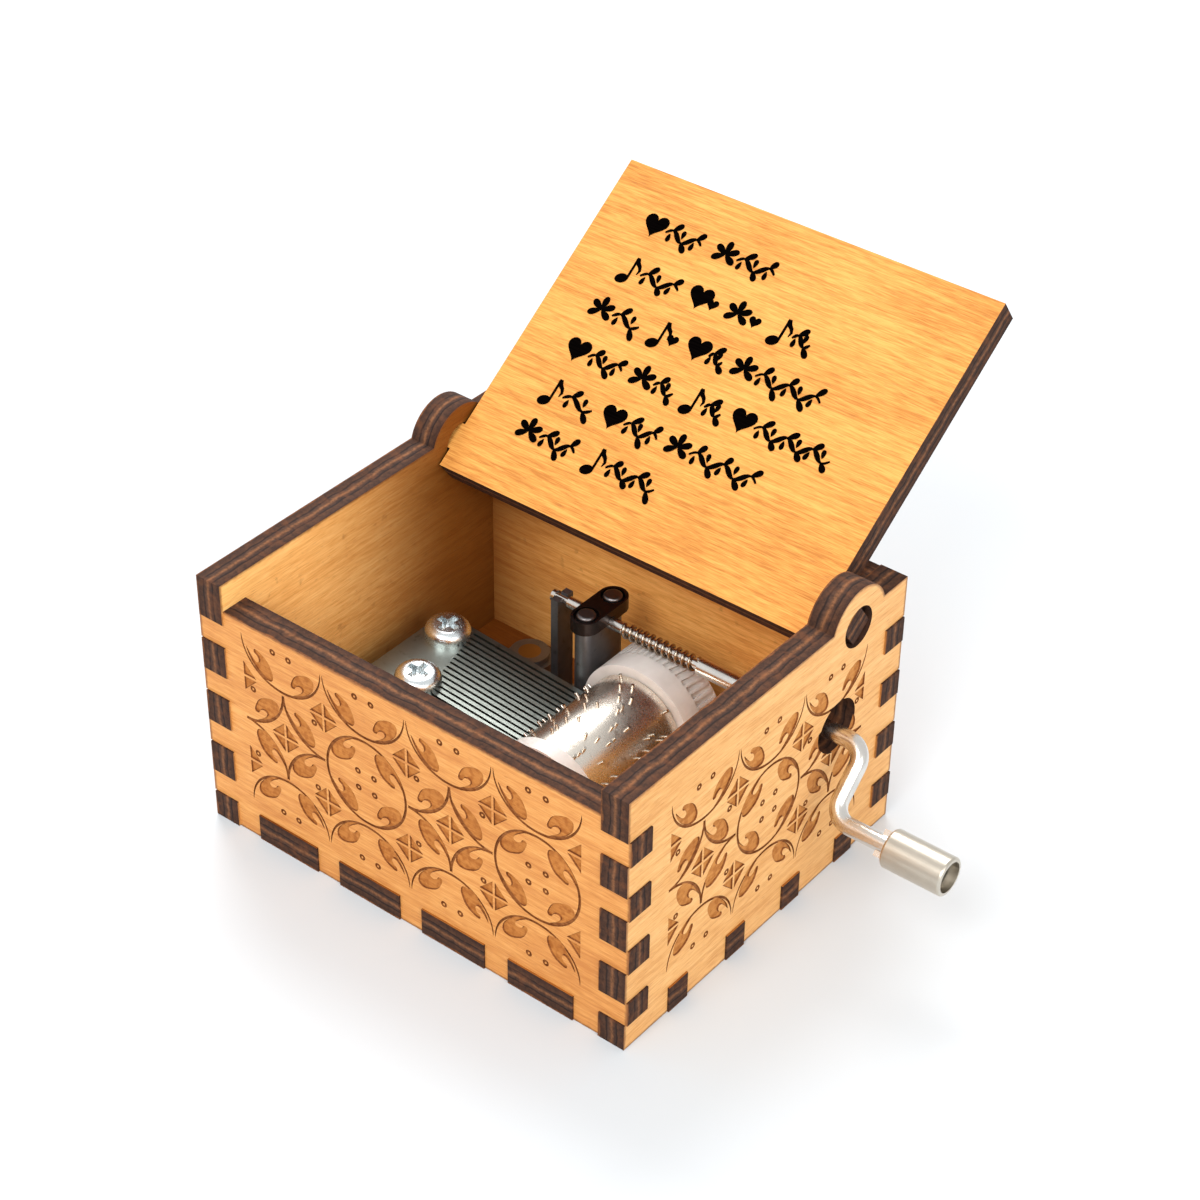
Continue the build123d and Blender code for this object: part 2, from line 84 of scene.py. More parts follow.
class Graph:
    """A material with one principled shader, and short calls to add nodes to it."""

    def __init__(self, name, **sockets):
        self.material = bpy.data.materials.new(name)
        self.material.use_nodes = True
        self.tree = self.material.node_tree
        self.tree.nodes.clear()
        output = self.add("ShaderNodeOutputMaterial")
        self.shader = self.add("ShaderNodeBsdfPrincipled")
        self.tree.links.new(self.shader.outputs[0], output.inputs[0])
        for socket, value in sockets.items():
            self.set(socket.replace("_", " "), value)

    def add(self, kind, **settings):
        node = self.tree.nodes.new(kind)
        for key, value in settings.items():
            setattr(node, key, value)
        return node

    def put(self, socket, value):
        if isinstance(value, bpy.types.NodeSocket):
            self.tree.links.new(value, socket)
        elif value is not None:
            socket.default_value = value

    def set(self, socket, value):
        self.put(self.shader.inputs[socket], value)

    def math(self, operation, a, b=None, c=None):
        node = self.add("ShaderNodeMath", operation=operation)
        for socket, value in zip(node.inputs, (a, b, c)):
            self.put(socket, value)
        return node.outputs[0]

    def step(self, value, low, high):
        """0 below low and 1 above high, or the other way round where low is the larger."""
        node = self.add("ShaderNodeMapRange", interpolation_type="SMOOTHSTEP")
        self.put(node.inputs["Value"], value)
        node.inputs["From Min"].default_value = low
        node.inputs["From Max"].default_value = high
        return node.outputs[0]

    def mix(self, factor, a, b, blend="MIX"):
        node = self.add("ShaderNodeMix", data_type="RGBA", blend_type=blend)
        self.put(node.inputs[0], factor)
        self.put(node.inputs[6], a)
        self.put(node.inputs[7], b)
        return node.outputs[2]

    def over(self, under, colour, mask, amount):
        """The colour laid over under where mask is 1, as strongly as amount."""
        return self.mix(self.math("MULTIPLY", mask, amount), under, colour)

    def ramp(self, value, stops):
        node = self.add("ShaderNodeValToRGB")
        elements = node.color_ramp.elements
        while len(elements) < len(stops):
            elements.new(0.5)
        for element, (place, colour) in zip(elements, stops):
            element.position = place
            element.color = colour
        self.put(node.inputs[0], value)
        return node.outputs[0]

    def point(self, turn=0.0):
        """The place on the piece in millimetres, turned by turn about the lid's pivot line."""
        place = self.add("ShaderNodeTexCoord").outputs["Object"]
        if turn:
            node = self.add("ShaderNodeVectorRotate", rotation_type="X_AXIS")
            self.put(node.inputs["Vector"], place)
            node.inputs["Center"].default_value = (0, PIVOT_Y * MM, PIVOT_Z * MM)
            node.inputs["Angle"].default_value = turn
            place = node.outputs[0]
        node = self.add("ShaderNodeVectorMath", operation="SCALE")
        self.put(node.inputs[0], place)
        node.inputs["Scale"].default_value = 1 / MM
        return node.outputs[0]

    def facing(self, turn):
        """The surface's direction in the piece's own frame, turned by turn."""
        normal = self.add("ShaderNodeTexCoord").outputs["Normal"]
        if turn:
            node = self.add("ShaderNodeVectorRotate", rotation_type="X_AXIS")
            self.put(node.inputs["Vector"], normal)
            node.inputs["Angle"].default_value = turn
            normal = node.outputs[0]
        return normal

    def noise(self, place, scale, detail, offset=(0, 0, 0), rough=0.5, warp=0.0):
        """Noise with scale features to the millimetre: one number, or one along each axis."""
        spread = self.add("ShaderNodeMapping")
        self.put(spread.inputs["Vector"], place)
        spread.inputs["Scale"].default_value = scale if isinstance(scale, tuple) else (scale,) * 3
        spread.inputs["Location"].default_value = offset
        node = self.add("ShaderNodeTexNoise")
        self.put(node.inputs["Vector"], spread.outputs[0])
        node.inputs["Scale"].default_value = 1.0
        node.inputs["Detail"].default_value = detail
        node.inputs["Roughness"].default_value = rough
        node.inputs["Distortion"].default_value = warp
        return node.outputs[0]

    def bump(self, height, depth, strength):
        """Relief of depth millimetres where height goes from 0 to 1."""
        node = self.add("ShaderNodeBump")
        self.put(node.inputs["Height"], height)
        node.inputs["Distance"].default_value = depth * MM
        node.inputs["Strength"].default_value = strength
        self.set("Normal", node.outputs[0])


PORE_BROWN = srgb(140, 80, 36)
FLECK_BROWN = srgb(122, 74, 34)
SCORCH_BROWN = srgb(112, 66, 34)
SOOT_BLACK = srgb(34, 25, 24)
WARM_BROWN = srgb(120, 76, 48)
PATCH_TINT = srgb(226, 212, 200)
EDGE_TINT = (0.90, 0.78, 0.66, 1.0)


def wood_figure(g, place, grain, through, seed):
    """Grain of a rotary-cut veneer: broad clouds, streaks, fine fibres, short pores and veins."""
    shift = (seed * 7.3, seed * 3.1, seed * 5.7)

    def layer(along, cross, deep, detail, warp=0.0):
        scale = tuple({grain: along, through: deep}.get(axis, cross) for axis in (X, Y, Z))
        return g.noise(place, scale, detail, shift, warp=warp)

    clouds = layer(0.03, 0.12, 0.1, 3, 0.6)
    streaks = layer(0.10, 1.7, 0.6, 4, 0.4)
    fibres = layer(0.42, 8.0, 2.5, 3, 0.2)
    pores = g.step(layer(0.75, 9.5, 2.5, 1), 0.64, 0.74)
    veins = g.step(layer(0.06, 3.4, 0.8, 3, 0.5), 0.54, 0.66)
    return clouds, streaks, fibres, pores, veins


def plywood(name, grain, through, sheet, tones, seed, turn=0.0, inner=0, inner_light_and_shade=None,
            border=None):
    """Laser-cut plywood: veneer on the faces, charred plies on the cut edges.

    grain and through are the axes along the grain and through the sheet, and sheet is the
    sheet's lowest and highest coordinate along through. tones are the veneer's dark, middle
    and light colours, and turn is how far the piece is turned about the lid's pivot line.
    inner is the sign of the direction that looks into the box, or 0. inner_light_and_shade is
    the painted light and shade of that side, as its first colour, its second colour and the
    coordinates along the grain between which it goes over. border is for scorched().
    """
    (across,) = {X, Y, Z} - {grain, through}
    g = Graph(name, Metallic=0.0, IOR=1.45, Specular_IOR_Level=0.22)
    place = g.point(turn)
    split = g.add("ShaderNodeSeparateXYZ")
    g.put(split.inputs[0], place)
    clouds, streaks, fibres, pores, veins = wood_figure(g, place, grain, through, seed)

    figure = g.math("MULTIPLY_ADD", streaks, 0.34, g.math("MULTIPLY", clouds, 0.24))
    figure = g.math("MULTIPLY_ADD", fibres, 0.42, figure)
    dark, middle, light = tones
    face = g.ramp(figure, ((0.40, dark), (0.50, middle), (0.60, light)))
    face = g.over(face, dark, veins, 0.36)
    face = g.over(face, PORE_BROWN, pores, 0.30)

    normal = g.add("ShaderNodeSeparateXYZ")
    g.put(normal.inputs[0], g.facing(turn))
    if inner:
        toward = g.math("MULTIPLY", normal.outputs[through], float(inner))
        inside = g.step(toward, 0.3, 0.7)
        # Painted light and shade: the inner side is made lighter or darker along the grain.
        near, far, start, end = inner_light_and_shade
        light_and_shade_tint = g.mix(g.step(split.outputs[grain], start, end), near, far)
        flecks = g.step(g.noise(place, 0.5, 4), 0.62, 0.74)
        shaded_and_flecked = g.over(g.mix(1.0, face, light_and_shade_tint, "MULTIPLY"), FLECK_BROWN, flecks, 0.35)
        face = g.mix(inside, face, shaded_and_flecked)
    if border:
        face = scorched(g, face, split.outputs[grain], split.outputs[across], border, place)

    edge = charred_plies(g, split.outputs[through], place, sheet, seed)
    is_face = g.step(g.math("ABSOLUTE", normal.outputs[through]), 0.5, 0.7)
    g.set("Base Color", g.mix(is_face, edge, face))
    edge_rough = g.math("MULTIPLY_ADD", streaks, 0.22, 0.70)
    g.set("Roughness", g.math("MULTIPLY_ADD", is_face, -0.32, edge_rough))
    relief = g.math("MULTIPLY_ADD", fibres, 0.6, g.math("MULTIPLY", pores, -0.5))
    g.bump(relief, 0.05, 0.5)
    return g.material


def scorched(g, face, along, cross, border, place):
    """Browns the face in a narrow uneven strip along the sheet's outline.

    border holds the outline's lowest and highest coordinates along and across the grain,
    then whether the sheet has an ear round the lid's pivot line.
    """
    low_a, high_a, low_b, high_b, ear = border
    gap = g.math("MINIMUM", g.math("SUBTRACT", along, low_a), g.math("SUBTRACT", high_a, along))
    gap = g.math("MINIMUM", gap, g.math("SUBTRACT", cross, low_b))
    gap = g.math("MINIMUM", gap, g.math("SUBTRACT", high_b, cross))
    if ear:
        away_a = g.math("POWER", g.math("SUBTRACT", along, PIVOT_Y), 2.0)
        away_b = g.math("POWER", g.math("SUBTRACT", cross, PIVOT_Z), 2.0)
        within = g.math("SUBTRACT", EAR_RADIUS, g.math("SQRT", g.math("ADD", away_a, away_b)))
        gap = g.math("MAXIMUM", gap, within)
    wobble = g.noise(place, 1.3, 3)
    gap = g.math("SUBTRACT", gap, g.math("MULTIPLY", wobble, 0.35))
    return g.over(face, SCORCH_BROWN, g.step(gap, 0.28, -0.15), 0.75)


def charred_plies(g, height, place, sheet, seed):
    """The cut edge: plies burnt by the laser, with dark glue lines and a paler middle.

    height is the coordinate through the sheet, and sheet is its lowest and highest value.
    """
    low, high = sheet
    share = g.math("DIVIDE", g.math("SUBTRACT", height, low), high - low)
    wander = g.noise(place, 0.35, 2, (seed, 0, 0))
    share = g.math("ADD", share, g.math("MULTIPLY_ADD", wander, 0.22, -0.11))
    plies = g.ramp(share, (
        (0.02, srgb(126, 82, 50)), (0.07, srgb(64, 44, 36)), (0.26, srgb(80, 56, 44)),
        (0.31, srgb(32, 24, 24)), (0.36, srgb(76, 57, 50)), (0.42, srgb(86, 63, 51)),
        (0.51, srgb(136, 96, 68)), (0.60, srgb(76, 55, 46)), (0.66, srgb(64, 48, 44)),
        (0.70, srgb(30, 22, 22)), (0.75, srgb(86, 60, 46)), (0.97, srgb(62, 42, 35)),
    ))
    soot = g.step(g.noise(place, 1.6, 5, (0, seed, 0), rough=0.75), 0.38, 0.66)
    plies = g.over(plies, SOOT_BLACK, soot, 0.60)
    warm = g.step(g.noise(place, 0.7, 3, (0, 0, seed)), 0.5, 0.75)
    plies = g.over(plies, WARM_BROWN, warm, 0.35)
    return g.mix(1.0, plies, EDGE_TINT, "MULTIPLY")


def engraved(name, grain, through, dark, light, seed, rough):
    """The bottom of an engraved cut: wood browned by the laser, with the grain left in it."""
    g = Graph(name, Metallic=0.0, Roughness=rough, IOR=1.4, Specular_IOR_Level=0.2)
    place = g.point()
    streaks, fibres = wood_figure(g, place, grain, through, seed)[1:3]
    tone = g.math("MULTIPLY_ADD", streaks, 0.5, g.math("MULTIPLY", fibres, 0.5))
    colour = g.ramp(tone, ((0.38, dark), (0.62, light)))
    patches = g.noise(place, 1.4, 3, (seed, 1, 2))
    shade = g.mix(1.0, colour, PATCH_TINT, "MULTIPLY")
    g.set("Base Color", g.mix(g.step(patches, 0.42, 0.66), colour, shade))
    g.bump(g.math("ADD", fibres, patches), 0.04, 0.6)
    return g.material


def metal(name, colour, rough, spread=0.1, scratches=5.0, dirt=None, relief=0.01, tone=0.12):
    """Metal with uneven polish, fine scratches, and grime in soft patches.

    spread is how much the roughness varies, scratches is the scale of their noise, relief
    is their depth in millimetres, and tone is how much the colour varies.
    """
    g = Graph(name, Metallic=1.0, IOR=2.0)
    place = g.point()
    broad = g.noise(place, 0.35, 4)
    fine = g.noise(place, scratches, 3, rough=0.6)
    base = g.over(colour, shaded(colour, 0.72), g.step(broad, 0.35, 0.7), tone * 3)
    base = g.over(base, shaded(colour, 1.25), g.step(fine, 0.4, 0.7), tone)
    if dirt:
        base = g.over(base, dirt, g.step(g.noise(place, 0.8, 5, (4, 2, 9)), 0.58, 0.75), 0.5)
    g.set("Base Color", base)
    g.set("Roughness", g.math("ADD", g.math("MULTIPLY", g.math("SUBTRACT", fine, 0.5), spread),
                              g.math("MULTIPLY_ADD", broad, spread, rough - spread / 2)))
    g.bump(fine, relief, 0.5)
    return g.material


def nylon(name):
    """Milky white nylon, a little see-through, with faint moulding marks."""
    g = Graph(name, Metallic=0.0, IOR=1.53, Subsurface_Weight=0.55, Subsurface_Scale=0.0022,
              Subsurface_Radius=(1.0, 0.9, 0.95), Transmission_Weight=0.12)
    place = g.point()
    cloud = g.noise(place, 0.3, 3)
    g.set("Base Color", g.ramp(cloud, ((0.3, srgb(210, 204, 199)), (0.7, srgb(230, 225, 220)))))
    fine = g.noise(place, 3.0, 3)
    g.set("Roughness", g.math("MULTIPLY_ADD", fine, 0.25, 0.25))
    g.bump(fine, 0.02, 0.4)
    return g.material


def ink(name):
    """Black print on the wood, uneven along the lid's grain."""
    g = Graph(name, Metallic=0.0, IOR=1.5, Specular_IOR_Level=0.0)
    fibres = g.noise(g.point(LID_OPEN), (0.25, 6.0, 2.0), 3)
    g.set("Base Color", g.ramp(fibres, ((0.4, srgb(3, 2, 2)), (0.75, srgb(9, 6, 5)))))
    g.set("Roughness", g.math("MULTIPLY_ADD", fibres, 0.3, 0.5))
    g.bump(fibres, 0.02, 0.5)
    return g.material


# The side walls are the same veneer as the front and rear, painted lighter for the stronger light
# on the case's right side.
FRONT_TONES = (srgb(188, 120, 60), srgb(206, 141, 75), srgb(218, 157, 91))
SIDE_LIT_TONES = (srgb(206, 146, 82), srgb(222, 166, 102), srgb(232, 182, 120))
LID_TONES = (srgb(178, 114, 50), srgb(206, 141, 68), srgb(220, 160, 83))

# Painted light and shade inside: lighter where the light falls, darker into the corners and floor.
LIT_TINT = (1.28, 1.30, 1.15, 1.0)
BRIGHTER_LIT_TINT = (1.45, 1.56, 1.50, 1.0)
FLOOR_SHADE_TINT = (0.52, 0.42, 0.28, 1.0)
CORNER_SHADE_TINT = (0.26, 0.16, 0.06, 1.0)

# Outlines for the scorching, which lie a little outside the sheets' nominal size.
BORDER_OUT = 0.2
EDGE_X = HALF_X + BORDER_OUT
EDGE_Y = HALF_Y + BORDER_OUT
FRONT_BORDER = (-EDGE_X, EDGE_X, 0, FRONT_TOP, False)
REAR_BORDER = (-EDGE_X, EDGE_X, 0, TOP_Z, False)
SIDE_BORDER = (-EDGE_Y, EDGE_Y, 0, TOP_Z, True)

wood = {
    "front_wall": plywood("ply_front", X, Y, (-HALF_Y, -HALF_Y + PLY), FRONT_TONES, 1, inner=1,
                          inner_light_and_shade=(CORNER_SHADE_TINT, LIT_TINT, -30, 10), border=FRONT_BORDER),
    "rear_wall": plywood("ply_rear", X, Y, (HALF_Y - PLY, HALF_Y), FRONT_TONES, 2, inner=-1,
                         inner_light_and_shade=(CORNER_SHADE_TINT, BRIGHTER_LIT_TINT, -34, -8), border=REAR_BORDER),
    "left_wall": plywood("ply_left", Y, X, (-HALF_X, -HALF_X + PLY), SIDE_LIT_TONES, 3, inner=1,
                         inner_light_and_shade=(LIT_TINT, CORNER_SHADE_TINT, -16, 15), border=SIDE_BORDER),
    "right_wall": plywood("ply_right", Y, X, (HALF_X - PLY, HALF_X), SIDE_LIT_TONES, 4, inner=-1,
                          inner_light_and_shade=(LIT_TINT, BRIGHTER_LIT_TINT, -12, 22), border=SIDE_BORDER),
    "bottom_panel": plywood("ply_bottom", X, Z, (0, PLY), FRONT_TONES, 5, inner=1,
                            inner_light_and_shade=(CORNER_SHADE_TINT, FLOOR_SHADE_TINT, -30, 20)),
    "lid": plywood("ply_lid", X, Z, (PIVOT_Z - PLY / 2, PIVOT_Z + PLY / 2), LID_TONES, 6,
                   turn=LID_OPEN),
}
# The side walls' engraving is painted lighter than the front's too, for the same stronger light.
pocket_wood = {
    "front_wall": engraved("engraved_front", X, Y, srgb(168, 103, 46), srgb(186, 120, 58), 1, 0.7),
    "right_wall": engraved("engraved_side", Y, X, srgb(178, 114, 54), srgb(197, 134, 70), 4, 0.7),
}
burnt_wood = {
    "front_wall": engraved("burnt_front", X, Y, srgb(118, 68, 34), srgb(150, 94, 50), 1, 0.8),
    "right_wall": engraved("burnt_side", Y, X, srgb(122, 72, 38), srgb(156, 100, 56), 4, 0.8),
}
for finishes in (pocket_wood, burnt_wood):
    finishes["rear_wall"] = finishes["front_wall"]
    finishes["left_wall"] = finishes["right_wall"]

finish_of = {
    "movement_base": metal("zinc_casting", srgb(136, 138, 142), 0.46, relief=0.03, tone=0.2,
                           dirt=srgb(70, 66, 62)),
    "comb": metal("comb_steel", srgb(133, 138, 132), 0.38, scratches=(0.6, 7.0, 3.0),
                  dirt=srgb(84, 88, 80)),
    "comb_screws": metal("bright_zinc", srgb(224, 230, 232), 0.27, relief=0.02),
    "base_screws": metal("yellow_zinc", srgb(164, 138, 92), 0.30, relief=0.02),
    "bearing_clamp": metal("dark_clamp", srgb(64, 56, 54), 0.38, relief=0.03,
                           dirt=srgb(40, 30, 26)),
    "clamp_screws": metal("clamp_zinc", srgb(116, 112, 112), 0.36, relief=0.03,
                          dirt=srgb(60, 52, 48)),
    "cylinder_shell": metal("polished_nickel", srgb(228, 220, 208), 0.27, relief=0.012,
                            dirt=srgb(140, 110, 84)),
    "cylinder_pins": metal("pin_steel", srgb(196, 188, 178), 0.22, relief=0.005),
    "front_cap": nylon("nylon_cap"),
    "worm_wheel": nylon("nylon_wheel"),
    "arbor": metal("arbor_steel", srgb(186, 182, 176), 0.28),
    "crank_rod": metal("crank_nickel", srgb(222, 218, 212), 0.24, spread=0.12, relief=0.012),
    "worm_coil": metal("coil_steel", srgb(172, 158, 142), 0.24),
    "knob": metal("satin_nickel", srgb(200, 192, 178), 0.32, spread=0.12,
                  scratches=(0.5, 6.0, 6.0), relief=0.012),
}


def paint(obj, *materials):
    obj.data.materials.clear()
    for material in materials:
        obj.data.materials.append(material)


for name, material in finish_of.items():
    paint(nodes[name], material)
for name in ("bottom_panel", "lid"):
    paint(nodes[name], wood[name])


# ------------------------------------------------------- engraved pattern, in 2-D

STROKE_WIDTH = 0.37
STROKE_TIP = 0.12  # width of a stroke's ends, as a share of its middle
DOT_OUTER = 0.46  # radii of a dot and of the spot left in it
DOT_INNER = 0.15
DOT_SPREAD = 1.25  # from a cell's middle line to its dots
DOT_DROP = 0.5  # from the panel's edge to the dots along it
CORNER_DOT = 1.5  # from a diamond cell's corners to its dots
PETAL_HALF = 2.3  # half the width of a diamond of petals
PETAL_GAP = 0.16  # half the gap between them
RING_CLEAR = 0.3  # between a ring and its cell's sides
EDGE_INSET = 0.15  # of the half rings along the panel's top and bottom
EDGE_WIDER = 0.15  # how much wider and flatter they are than a ring
EDGE_FLATTER = 0.25
LEAF_CLEAR = 0.02  # between a leaf and the diamond's side that it follows
POINT_CUT = 0.1  # how much is cut off a diamond's four points

QUARTERS = (0, 90, 180, 270)

LEAF = (  # one comma leaf: degrees round a lattice centre, and share of the ring's radius
    (74, 0.985), (64, 1.0), (52, 1.0), (40, 1.0), (29, 0.99), (20, 0.93), (17.5, 0.83),
    (20, 0.72), (28, 0.62), (40, 0.555), (53, 0.56), (64, 0.63), (70.5, 0.72), (70, 0.785),
    (65, 0.805), (60, 0.765), (54.5, 0.765), (50.5, 0.80), (50, 0.86), (54, 0.905), (63, 0.935),
)


def smooth_loop(points, steps=3):
    """A closed Catmull-Rom curve through points."""
    count = len(points)
    loop = []
    for i in range(count):
        p0, p1, p2, p3 = (points[(i + k) % count] for k in (-1, 0, 1, 2))
        for s in range(steps):
            t = s / steps
            loop.append(tuple(
                0.5 * (2 * b + (c - a) * t + (2 * a - 5 * b + 4 * c - d) * t * t
                       + (3 * b - a - 3 * c + d) * t ** 3)
                for a, b, c, d in zip(p0, p1, p2, p3)))
    return loop


def leaf(cx, cy, radius, turn):
    """A comma leaf inside the ring round (cx, cy), turned by turn degrees."""
    points = []
    for degrees, share in LEAF:
        angle = math.radians(turn - degrees)
        points.append((cx + radius * share * math.cos(angle),
                       cy + radius * share * math.sin(angle)))
    return smooth_loop(points)


def arc(cx, cy, rx, ry, start, end, steps):
    points = []
    for i in range(steps + 1):
        angle = math.radians(start + (end - start) * i / steps)
        points.append((cx + rx * math.cos(angle), cy + ry * math.sin(angle)))
    return points


def swelling_arc(cx, cy, rx, ry, start, end, width, steps=30):
    """A stroke along an arc that is widest in its middle and pointed at its ends."""
    middle = arc(cx, cy, rx, ry, start, end, steps)
    left, right = [], []
    for i, (x, y) in enumerate(middle):
        angle = math.radians(start + (end - start) * i / steps)
        swell = math.sin(math.pi * i / steps) ** 0.45
        half = width / 2 * (STROKE_TIP + (1 - STROKE_TIP) * swell)
        left.append((x + half * math.cos(angle), y + half * math.sin(angle)))
        right.append((x - half * math.cos(angle), y - half * math.sin(angle)))
    return left + right[::-1]


def ring(cx, cy, outer, inner, steps=72):
    """A shape of two loops: a disc and its hole."""
    return [arc(cx, cy, outer, outer, 0, 360, steps)[:-1],
            arc(cx, cy, inner, inner, 360, 0, steps)[:-1]]


def dot(cx, cy):
    return ring(cx, cy, DOT_OUTER, DOT_INNER, 14)


def turned(points, cx, cy, degrees):
    """The points turned by degrees about (0, 0), then moved to (cx, cy)."""
    cos, sin = math.cos(math.radians(degrees)), math.sin(math.radians(degrees))
    return [(cx + x * cos - y * sin, cy + x * sin + y * cos) for x, y in points]


def hollow_diamond(cx, cy, half, width, steps=10):
    """The outline of a diamond whose four sides are quarter circles bent inwards."""
    far, near = half + width / 2, half - width / 2
    limit = math.degrees(math.acos(half / far))
    outside = arc(half, half, near, near, 270, 180, steps) + [(0.0, half - POINT_CUT)]
    inside = arc(half, half, far, far, 270 - limit, 180 + limit, steps)[:-1]
    return [sum((turned(outside, cx, cy, degrees) for degrees in QUARTERS), []),
            sum((turned(inside, cx, cy, degrees) for degrees in QUARTERS), [])]


def petals(cx, cy, keep=QUARTERS):
    """The kept quarters of a diamond that is cut into four by a cross-shaped gap."""
    far = PETAL_HALF - PETAL_GAP
    corners = ((PETAL_GAP, PETAL_GAP), (far, PETAL_GAP), (PETAL_GAP, far))
    return [[turned(corners, cx, cy, degrees)] for degrees in keep]


def lattice(cells, pitch, middle):
    """The panel's pattern: (pockets, strokes), in millimetres along and up the wall.

    Each is a list of shapes, and a shape is its outer loop and then its holes. cells lists
    the cells from left to right, "ring" or "diamond", pitch apart on the height middle.
    """
    half = pitch / 2
    radius = half - RING_CLEAR
    wide = radius + EDGE_WIDER
    tall = radius - EDGE_FLATTER
    left = -half * len(cells)
    top = middle + pitch - EDGE_INSET
    bottom = middle - pitch + EDGE_INSET
    pockets, strokes = [], []
    for i, kind in enumerate(cells):
        cx = left + half + i * pitch
        for cy, inward, start, turns in ((top, -1, 180, (0, 270)), (bottom, 1, 0, (90, 180))):
            strokes.append([swelling_arc(cx, cy, wide, tall, start, start + 180, STROKE_WIDTH)])
            pockets.extend([leaf(cx, cy, tall, turn)] for turn in turns)
            for dx in (-DOT_SPREAD, DOT_SPREAD):
                strokes.append(dot(cx + dx, cy + inward * DOT_DROP))
        if kind == "ring":
            strokes.append(ring(cx, middle, radius + STROKE_WIDTH / 2, radius - STROKE_WIDTH / 2))
            pockets.extend([leaf(cx, middle, radius, turn)] for turn in QUARTERS)
            for dx in (-DOT_SPREAD, DOT_SPREAD):
                for dy in (-DOT_SPREAD, DOT_SPREAD):
                    strokes.append(dot(cx + dx, middle + dy))
            continue
        strokes.append(hollow_diamond(cx, middle, half, STROKE_WIDTH))
        pockets.extend(petals(cx, middle))
        for turn, (sx, sy) in zip(QUARTERS, ((-1, 1), (-1, -1), (1, -1), (1, 1))):
            corner_x, corner_y = cx + sx * half, middle + sy * half
            pockets.append([leaf(corner_x, corner_y, half - LEAF_CLEAR, turn)])
            strokes.append(dot(corner_x - sx * CORNER_DOT, corner_y - sy * CORNER_DOT))
    for i in range(len(cells) + 1):
        keep = {0: (0, 270), len(cells): (90, 180)}.get(i, QUARTERS)
        for cy in (middle - half, middle + half):
            pockets.extend(petals(left + i * pitch, cy, keep))
    return pockets, strokes


# ------------------------------------------------------------- engraved walls

STROKE_DEPTH = 0.22
POCKET_DEPTH = 0.20
POCKET_RIM = 0.07  # width of the burnt rim round a pocket's floor
CUTTER_SPARE = 0.4  # how far the cutters stand out of the wall
MITRE = 2.4  # the most that a sharp corner moves, against the inset's amount
TINY = 1e-6
WELD = 0.002  # vertices nearer than this become one
SPECK = 0.001  # edges shorter than this go
FLAT = 0.999  # how squarely a polygon faces along the wall's axis to be shaded flat
SHARP_ANGLE = math.radians(25)
FACE_SLOT, POCKET_SLOT, BURNT_SLOT = range(3)


def area(loop):
    return sum(a[0] * b[1] - b[0] * a[1] for a, b in zip(loop, loop[1:] + loop[:1])) / 2


def inset(loop, amount):
    """The loop moved to its left by amount, corner by corner, which shrinks a positive loop."""
    result = []
    count = len(loop)
    for i, (x, y) in enumerate(loop):
        ax, ay = loop[i - 1]
        bx, by = loop[(i + 1) % count]
        n1 = Vector((ay - y, x - ax)).normalized()
        n2 = Vector((y - by, bx - x)).normalized()
        m = n1 + n2
        m = m.normalized() if m.length > TINY else n1
        reach = amount / max(m.dot(n1), 1 / MITRE)
        result.append((x + m.x * reach, y + m.y * reach))
    return result


def add_loops(bm, loops, place, height):
    """A new vertex at each point of the loops, at height over the face that place stands for."""
    return [[bm.verts.new(place(x, y, height)) for x, y in loop] for loop in loops]


def add_bands(bm, lows, highs, index):
    """A band of quads between each low loop of vertices and its high loop."""
    for low, high in zip(lows, highs):
        for i in range(len(low)):
            j = (i + 1) % len(low)
            bm.faces.new((low[i], low[j], high[j], high[i])).material_index = index


def add_flat(bm, loops, verts, index):
    """Triangles over a loop less its holes: the points in loops, with their vertices in verts."""
    every = [vert for loop in verts for vert in loop]
    for corners in tessellate_polygon([[Vector((x, y, 0)) for x, y in loop] for loop in loops]):
        bm.faces.new([every[corner] for corner in corners]).material_index = index


def finished_mesh(bm, name):
    """The bmesh as a new mesh, with its faces turned the same way."""
    bmesh.ops.recalc_face_normals(bm, faces=bm.faces)
    mesh = bpy.data.meshes.new(name)
    bm.to_mesh(mesh)
    bm.free()
    return mesh


def new_object(name, data):
    obj = bpy.data.objects.new(name, data)
    scene.collection.objects.link(obj)
    return obj


def cutter_mesh(name, shapes, place, depth, rim=0.0):
    """Closed prisms that reach depth into a wall, as one mesh.

    With a rim, each has a floor for pocket wood inside a burnt rim of that width; without,
    it is burnt all over.
    """
    bm = bmesh.new()
    for loops in shapes:
        outer = loops[0] if area(loops[0]) > 0 else loops[0][::-1]
        outline = [outer] + [hole if area(hole) < 0 else hole[::-1] for hole in loops[1:]]
        low = add_loops(bm, outline, place, -depth)
        high = add_loops(bm, outline, place, CUTTER_SPARE)
        add_bands(bm, low, high, BURNT_SLOT)
        add_flat(bm, outline, high, BURNT_SLOT)
        if rim:
            inner = [inset(loop, rim) for loop in outline]
            floor = add_loops(bm, inner, place, -depth)
            add_bands(bm, floor, low, BURNT_SLOT)
            add_flat(bm, inner, floor, POCKET_SLOT)
        else:
            add_flat(bm, outline, low, BURNT_SLOT)
    return finished_mesh(bm, name)


def subtract(obj, mesh):
    """Cuts mesh out of obj, and keeps the result as obj's own mesh."""
    tool = new_object("tool", mesh)
    for material in obj.data.materials:
        mesh.materials.append(material)
    modifier = obj.modifiers.new("cut", "BOOLEAN")
    modifier.operation = "DIFFERENCE"
    modifier.solver = "EXACT"
    modifier.use_self = True
    modifier.object = tool
    bpy.context.view_layer.update()
    graph = bpy.context.evaluated_depsgraph_get()
    result = bpy.data.meshes.new_from_object(obj.evaluated_get(graph))
    obj.modifiers.clear()
    obj.data = result
    bpy.data.objects.remove(tool)
    bpy.data.meshes.remove(mesh)


